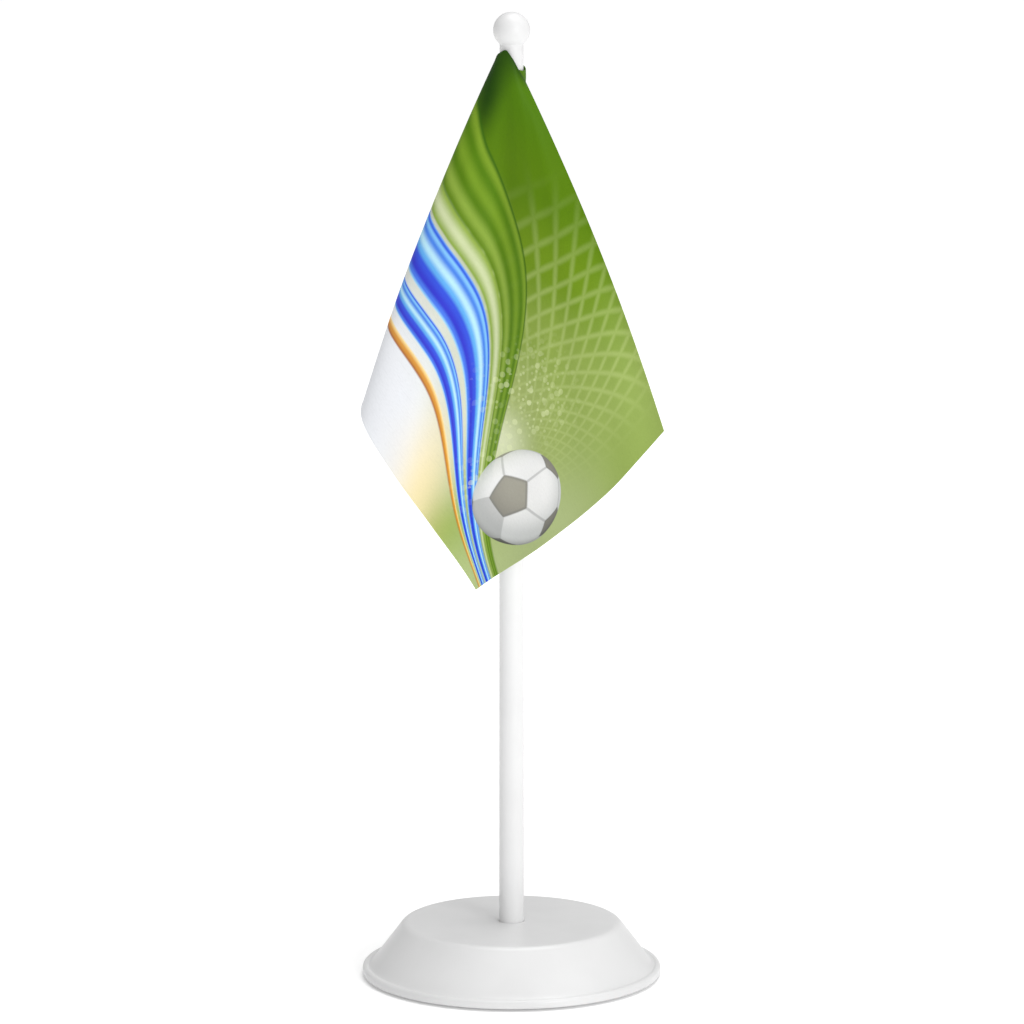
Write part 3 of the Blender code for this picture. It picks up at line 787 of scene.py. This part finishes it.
def football_faces():
    """The faces of a football that can be seen, the one that looks most out of the print first:
    direction, distance from the centre, and whether it is a pentagon."""
    golden = (1 + math.sqrt(5)) / 2
    corners = []
    for a in (-1, 1):
        for b in (-golden, golden):
            corners += [Vector((0, a, b)), Vector((a, b, 0)), Vector((b, 0, a))]
    corners = [c.normalized() for c in corners]
    near = max(c.dot(d) for c in corners for d in corners if c is not d) - 1e-6
    middles = []
    for a, b, c in itertools.combinations(corners, 3):
        if min(a.dot(b), b.dot(c), a.dot(c)) > near:
            middles.append((a + b + c).normalized())
    towards = Vector(FOOTBALL_TOWARDS).normalized()
    turn = Matrix.Rotation(FOOTBALL_TWIST, 3, towards) @ corners[0].rotation_difference(towards).to_matrix()
    faces = [(turn @ corner, PENTAGON_DISTANCE, True) for corner in corners]
    faces += [(turn @ middle, HEXAGON_DISTANCE, False) for middle in middles]
    seen = [face for face in faces if face[0].z > FOOTBALL_HORIZON]
    return sorted(seen, key=lambda face: -face[0].dot(towards))


def draw_football(tree, below, x, y):
    """A plain football, shaded as if lit from the side of the hoist's top corner."""
    across = (x - FOOTBALL_PLACE[0]) / FOOTBALL_SIZE[0]
    down = (y - FOOTBALL_PLACE[1]) / FOOTBALL_SIZE[1]
    square = across * across + down * down
    out = (1 - square).apply("MAXIMUM", 0.0).apply("SQRT")
    combine = tree.nodes.new("ShaderNodeCombineXYZ")
    limb = 1 / math.sqrt(FOOTBALL_SEEN_FROM**2 - 1)
    reach = (FOOTBALL_SEEN_FROM - out) / (square * limb**2 + 1)
    direction_seen = (across * reach * limb, down * reach * limb, FOOTBALL_SEEN_FROM - reach)
    for slot, value in zip(combine.inputs, direction_seen):
        plug(tree, slot, value)
    first = second = pentagon = None
    for direction, distance, five in football_faces():
        dot = tree.nodes.new("ShaderNodeVectorMath")
        dot.operation = "DOT_PRODUCT"
        tree.links.new(combine.outputs[0], dot.inputs[0])
        dot.inputs[1].default_value = tuple(direction / distance)
        value = Field(tree, dot.outputs["Value"])
        if first is None:
            pentagon = first = value
            continue
        second = value if second is None else second.apply("MAXIMUM", first.apply("MINIMUM", value))
        first = first.apply("MAXIMUM", value)
        if five:
            pentagon = pentagon.apply("MAXIMUM", value)
    seam = (first - second).rise(0.022, 0.006)
    dark = (pentagon - first).rise(-0.012, -0.002)
    light = (0.62 + across * -0.30 + down * -0.34) * 0.5 + out * 0.62
    leather = ramp(tree, light, [
        (0.15, srgb(140, 142, 138)),
        (0.50, srgb(196, 198, 196)),
        (0.95, srgb(240, 240, 238)),
    ])
    panel = ramp(tree, light, [
        (0.2, srgb(66, 66, 60)),
        (0.7, srgb(112, 108, 94)),
        (1.0, srgb(150, 146, 128)),
    ])
    colour = over(tree, leather, panel, dark * 0.85)
    colour = over(tree, colour, srgb(120, 121, 120), seam * 0.4)
    disc = square.rise(1.0, 0.965)
    faded_to_hoist = x.rise(110, 124) * 0.35 + 0.65
    return over(tree, below, colour, disc * faded_to_hoist)


def ribbon(tree, below, from_middle, half, stops):
    """A ribbon about its middle line, coloured across its width by a ramp."""
    across = (from_middle / half) * 0.5 + 0.5
    upper = (from_middle + half).rise(-RIBBON_SOFT_EDGE, RIBBON_SOFT_EDGE)
    lower = (half - from_middle).rise(-RIBBON_SOFT_EDGE, RIBBON_SOFT_EDGE)
    return over(tree, below, ramp(tree, across, stops), upper * lower * RIBBON_OPACITY)


def ribbon_colours(name):
    """Stops across a ribbon, from its upper edge to its lower one."""
    if name == "green":
        return [
            (0.0, srgb(44, 88, 2)), (0.09, srgb(118, 150, 38)), (0.24, srgb(78, 118, 6)),
            (0.44, srgb(112, 146, 34)), (0.62, srgb(80, 118, 8)), (0.82, srgb(132, 160, 60)),
            (1.0, srgb(88, 122, 14)),
        ]
    if name == "pale":
        return [(0.0, srgb(138, 164, 66)), (0.5, srgb(196, 206, 160)), (1.0, srgb(126, 154, 50))]
    if name == "gold":
        return [(0.0, srgb(244, 214, 140)), (0.5, srgb(208, 140, 28)), (1.0, srgb(158, 84, 6))]
    return [
        (0.0, srgb(84, 150, 236)), (0.05, srgb(26, 84, 216)), (0.11, srgb(120, 186, 238)),
        (0.20, srgb(54, 120, 222)), (0.36, srgb(176, 222, 240)), (0.50, srgb(84, 164, 230)),
        (0.62, srgb(22, 66, 212)), (0.80, srgb(12, 26, 196)), (0.92, srgb(56, 112, 226)),
        (1.0, srgb(140, 200, 238)),
    ]


def net_lines(x, y):
    """A net of two families of spirals, whose diamonds grow away from the focus, and the distance
    from the focus."""
    dx, dy = x - NET_FOCUS[0], y - NET_FOCUS[1]
    turn = dy.apply("ARCTAN2", dx)
    reach = (dx * dx + dy * dy).apply("SQRT").apply("MAXIMUM", NET_HOLE)
    spread = reach.apply("LOGARITHM", math.e)
    lines = None
    for turns, twists in NET_SPIRALS:
        cell = (turn * turns + spread * twists).apply("FRACT")
        line = cell.bump_at(0.5, 0.24)
        lines = line if lines is None else lines.apply("MAXIMUM", line)
    return lines, reach


def flat_place(tree):
    """Places on the flat flag in millimetres, with x from the hoist and y up from the bottom."""
    uv = tree.nodes.new("ShaderNodeUVMap")
    uv.uv_map = "Print"
    return stretched(tree, uv.outputs["UV"], (FLY / MM, HOIST / MM, 1.0))


def dots(tree, flat, scale, size):
    """Round spots, one to a cell, each with its own strength."""
    cells = tree.nodes.new("ShaderNodeTexVoronoi")
    cells.voronoi_dimensions = "2D"
    plug(tree, cells.inputs["Vector"], flat)
    cells.inputs["Scale"].default_value = scale
    cells.inputs["Randomness"].default_value = 0.9
    separate = tree.nodes.new("ShaderNodeSeparateColor")
    tree.links.new(cells.outputs["Color"], separate.inputs[0])
    strength = Field(tree, separate.outputs[0]).rise(0.35, 1.0)
    return Field(tree, cells.outputs["Distance"]).rise(size, size * 0.75) * strength


def print_ground(tree, x, y):
    """Green: light round GLOW_PLACE, paler again towards the fly, with a dark streak at the hoist's
    top."""
    dx, dy = x - GLOW_PLACE[0], (y - GLOW_PLACE[1]) * 1.1
    reach = (dx * dx + dy * dy).apply("SQRT") / GLOW_REACH
    colour = ramp(tree, reach, [
        (0.0, srgb(214, 220, 182)),
        (0.14, srgb(160, 174, 104)),
        (0.30, srgb(134, 157, 66)),
        (0.50, srgb(104, 136, 20)),
        (0.70, srgb(82, 118, 2)),
        (0.97, srgb(70, 110, 0)),
    ])
    upper_fly = x.rise(76, 132) * y.rise(74, 40)
    lower_fly = x.rise(116, 148) * y.rise(22, 62)
    streak = (y - x * 0.84).bump_at(1.0, 5.5) * x.rise(27, 10)
    colour = over(tree, colour, srgb(146, 166, 88), upper_fly * 0.85)
    colour = over(tree, colour, srgb(176, 189, 136), lower_fly * 0.8)
    return over(tree, colour, srgb(10, 48, 0), streak * 0.85)


def draw_net(tree, below, x, y):
    """The pale net, faded out towards the hoist, the fly and the bottom, and in its own focus."""
    lines, out = net_lines(x, y)
    round_focus = out.rise(10, 26) * out.rise(118, 60)
    faded = round_focus * x.rise(22, 60) * x.rise(146, 116) * y.rise(66, 48)
    return over(tree, below, srgb(186, 202, 130), lines * faded * 0.34)


def draw_ribbons(tree, below, x, y):
    """Pale ground under the wave, then the ribbons that follow it."""
    swing = (x * SWING_RATE + SWING_START).apply("SINE") * SWING_HEIGHT
    below_wave = y - (x * WAVE_SLOPE + swing + WAVE_START)
    narrowing = x.rise(150, 30) * (1 - RIBBON_AT_FLY) + RIBBON_AT_FLY
    pale = below_wave.rise(2, 14) * x.rise(128, 96)
    warm = below_wave.bump_at(30.0, 22.0) * x.bump_at(108.0, 30.0)
    colour = over(tree, below, srgb(200, 204, 188), pale)
    colour = over(tree, colour, srgb(228, 230, 234), pale * below_wave.rise(16, 40))
    colour = over(tree, colour, srgb(244, 220, 150), warm * 0.6)
    for offset, half, name in RIBBONS:
        from_middle = below_wave - narrowing * offset
        colour = ribbon(tree, colour, from_middle, narrowing * half, ribbon_colours(name))
    return colour


def draw_dots(tree, below, flat, x, y):
    """Pale spots of two sizes, beside the ball and above it."""
    above_ball = x.bump_at(104.0, 24.0) * y.bump_at(50.0, 26.0)
    round_ball = x.bump_at(122.0, 16.0) * y.bump_at(76.0, 18.0)
    near = (above_ball + round_ball).apply("MINIMUM", 1.0)
    large = dots(tree, flat, scale=0.32, size=0.36)
    small = dots(tree, flat, scale=0.52, size=0.3)
    spots = large.apply("MAXIMUM", small * 0.7)
    return over(tree, below, srgb(232, 240, 186), spots * near * 0.6)


def print_group():
    """The whole print as one node group with a colour output, read off the UV map Print."""
    tree = bpy.data.node_groups.new("flag_print", "ShaderNodeTree")
    tree.interface.new_socket(name="Color", in_out="OUTPUT", socket_type="NodeSocketColor")
    flat = flat_place(tree)
    separate = tree.nodes.new("ShaderNodeSeparateXYZ")
    tree.links.new(flat, separate.inputs[0])
    x = Field(tree, separate.outputs[0])
    y = HOIST / MM - Field(tree, separate.outputs[1])
    colour = print_ground(tree, x, y)
    colour = draw_net(tree, colour, x, y)
    colour = draw_ribbons(tree, colour, x, y)
    colour = draw_dots(tree, colour, flat, x, y)
    colour = draw_football(tree, colour, x, y)
    output = tree.nodes.new("NodeGroupOutput")
    tree.links.new(colour, output.inputs["Color"])
    return tree


def satin(name, print_tree=None, colour=None, show_through=0.0):
    """Polyester satin: long floats along the fly, a soft sheen, and either the print or one colour.
    show_through is the share of white that pales the print on the reverse and the cut edge."""
    made, tree, shader, place = finish_of(
        name, sheen_weight=0.02, sheen_roughness=0.4, specular_ior_level=0.12
    )
    if print_tree is not None:
        group = tree.nodes.new("ShaderNodeGroup")
        group.node_tree = print_tree
        base = group.outputs["Color"]
        weave = flat_place(tree)
    else:
        base = colour
        weave = stretched(tree, place, (1 / MM, 1 / MM, 1 / MM))
    floats = noise(tree, stretched(tree, weave, (0.9, 5.5, 1.0)), scale=1.0, detail=2.0)
    slubs = noise(tree, stretched(tree, weave, (0.12, 2.4, 1.0)), scale=1.0)
    tone = over(tree, base, (1.0, 1.0, 1.0), show_through) if show_through else base
    dark_threads = floats.rise(0.42, 0.68) * 0.05 + slubs.rise(0.5, 0.75) * 0.04
    tone = over(tree, tone, (0.0, 0.0, 0.0), dark_threads)
    plug(tree, shader.inputs["Base Color"], tone)
    plug(tree, shader.inputs["Roughness"], floats * 0.14 + 0.46)
    bumped(tree, shader, floats + slubs * 0.6, distance=0.03 * MM, strength=0.45)
    return made


def thread(name, colour):
    """Twisted sewing thread."""
    made, tree, shader, place = finish_of(name, sheen_weight=0.25, roughness=0.6)
    twist = tree.nodes.new("ShaderNodeTexWave")
    plug(tree, twist.inputs["Vector"], stretched(tree, place, (1 / MM, 1 / MM, 2.6 / MM)))
    twist.bands_direction = "DIAGONAL"
    twist.inputs["Scale"].default_value = 1.2
    strands = Field(tree, twist.outputs["Fac"])
    base = over(tree, colour, darkened(colour, 0.6), strands * 0.6)
    plug(tree, shader.inputs["Base Color"], base)
    bumped(tree, shader, strands, distance=0.05 * MM, strength=0.6)
    return made


# ---------------------------------------------------------------- the studio


def make_camera():
    data = bpy.data.cameras.new("camera")
    data.lens = CAMERA_LENS
    data.sensor_width = CAMERA_SENSOR
    data.shift_x = CAMERA_SHIFT
    data.clip_end = CAMERA_CLIP_END
    camera = bpy.data.objects.new("camera", data)
    camera.location = CAMERA_PLACE
    camera.rotation_euler = (math.radians(90 - CAMERA_PITCH), 0, 0)
    bpy.context.scene.collection.objects.link(camera)
    bpy.context.scene.camera = camera


def area_light(name, place, size, power):
    data = bpy.data.lights.new(name, "AREA")
    data.shape = "RECTANGLE"
    data.size, data.size_y = size
    data.energy = power
    light = bpy.data.objects.new(name, data)
    light.location = place
    light.rotation_euler = (Vector(LIGHTS_AIM) - Vector(place)).to_track_quat("-Z", "Y").to_euler()
    bpy.context.scene.collection.objects.link(light)


def floor_finish():
    """Matt white, with a painted glow that keeps the floor pale away from the stand and is weaker near it,
    so that the stand's contact shadow stays.
    """
    made, tree, shader, place = finish_of("floor_white", roughness=0.9, specular_ior_level=0.1)
    tone = noise(tree, place, scale=1.5, detail=2.0)
    base = over(tree, (0.90, 0.90, 0.90), (0.92, 0.92, 0.92), tone)
    plug(tree, shader.inputs["Base Color"], base)
    shader.inputs["Emission Color"].default_value = (1.0, 1.0, 1.0, 1.0)
    separate = tree.nodes.new("ShaderNodeSeparateXYZ")
    tree.links.new(place, separate.inputs[0])
    east, north = Field(tree, separate.outputs[0]), Field(tree, separate.outputs[1])
    away = (east * east + north * north).apply("SQRT")
    glow = away.rise(*FLOOR_GLOW_SPAN) * FLOOR_GLOW_ADDED + FLOOR_GLOW
    plug(tree, shader.inputs["Emission Strength"], glow)
    return made


def make_studio():
    """A white world, three soft lights and a round white floor."""
    world = bpy.data.worlds.new("studio")
    world.use_nodes = True
    background = world.node_tree.nodes["Background"]
    background.inputs["Color"].default_value = (1.0, 1.0, 1.0, 1.0)
    background.inputs["Strength"].default_value = WORLD_STRENGTH
    bpy.context.scene.world = world
    bpy.context.scene.view_settings.view_transform = "Standard"
    for name, place, size, power in LIGHTS:
        area_light(name, place, size, power)
    bm = bmesh.new()
    bmesh.ops.create_circle(bm, cap_ends=True, segments=128, radius=FLOOR_RADIUS)
    floor = smooth_object("floor", bm, floor_finish())


# ---------------------------------------------------------------- the whole


def place_piece(piece, body, nodes):
    """Fixes a piece to a body, in place of CAD nodes."""
    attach(piece, body)
    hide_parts(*nodes)
    return piece


def repaint(node, finish):
    """Gives a CAD node that stays its detailed material."""
    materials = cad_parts[node].data.materials
    materials.clear()
    materials.append(finish)


def build():
    """Makes every piece and its material, and repaints the CAD nodes that stay."""
    base_plastic = plastic("base_plastic", srgb(218, 218, 218), roughness=0.36)
    pole_plastic = plastic("pole_plastic", srgb(224, 224, 224), roughness=0.38, along_pole=True)
    finial_plastic = plastic("finial_plastic", srgb(214, 214, 214), roughness=0.42)
    printed = print_group()
    front = satin("flag_satin", printed)
    back = satin("flag_satin_reverse", printed, show_through=0.22)
    edge = satin("flag_cut_edge", printed, show_through=0.10)
    sleeve_satin = satin("sleeve_satin", colour=srgb(70, 108, 4))
    green_thread = thread("seam_thread", srgb(92, 132, 34))

    place_piece(make_base(base_plastic), "base", ["base_shell"])
    foam = cellular("pad_foam", (0.035, 0.035, 0.038), roughness=0.9, scale=2600.0, depth=0.08 * MM)
    pad = place_piece(make_pad(foam), "base", ["anti_slip_pad"])
    place_piece(make_pole(pole_plastic), "pole", ["pole_tube"])
    place_piece(make_finial(finial_plastic), "finial", ["finial"])
    rubber = cellular("ring_rubber", (0.58, 0.59, 0.60), roughness=0.65, scale=3200.0, depth=0.004 * MM)
    place_piece(make_stop_ring(rubber), "stop_ring", ["flag_stop_ring"])
    sleeve = place_piece(make_sleeve(sleeve_satin), "flag", ["hoist_sleeve"])
    flag = place_piece(make_flag(front, back, edge), "flag", ["flag_panel"])
    seam, hem = make_stitches(green_thread)
    place_piece(seam, "flag", ["sleeve_seam"])
    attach(hem, "flag")

    repaint("base_cover", textured_plastic("cover_plastic", srgb(214, 215, 216), roughness=0.5))
    repaint("pole_end_plug", textured_plastic("plug_plastic", srgb(150, 152, 154), roughness=0.5))
    ballast_steel = plated_steel("ballast_steel", (0.60, 0.61, 0.62), roughness=0.42, flake=260.0)
    screw_steel = plated_steel("screw_steel", (0.70, 0.70, 0.70), roughness=0.30, flake=900.0)
    repaint("ballast_ring", ballast_steel)
    for i in (1, 2, 3):
        repaint(f"cover_screw_{i}", screw_steel)


make_camera()
make_studio()
build()
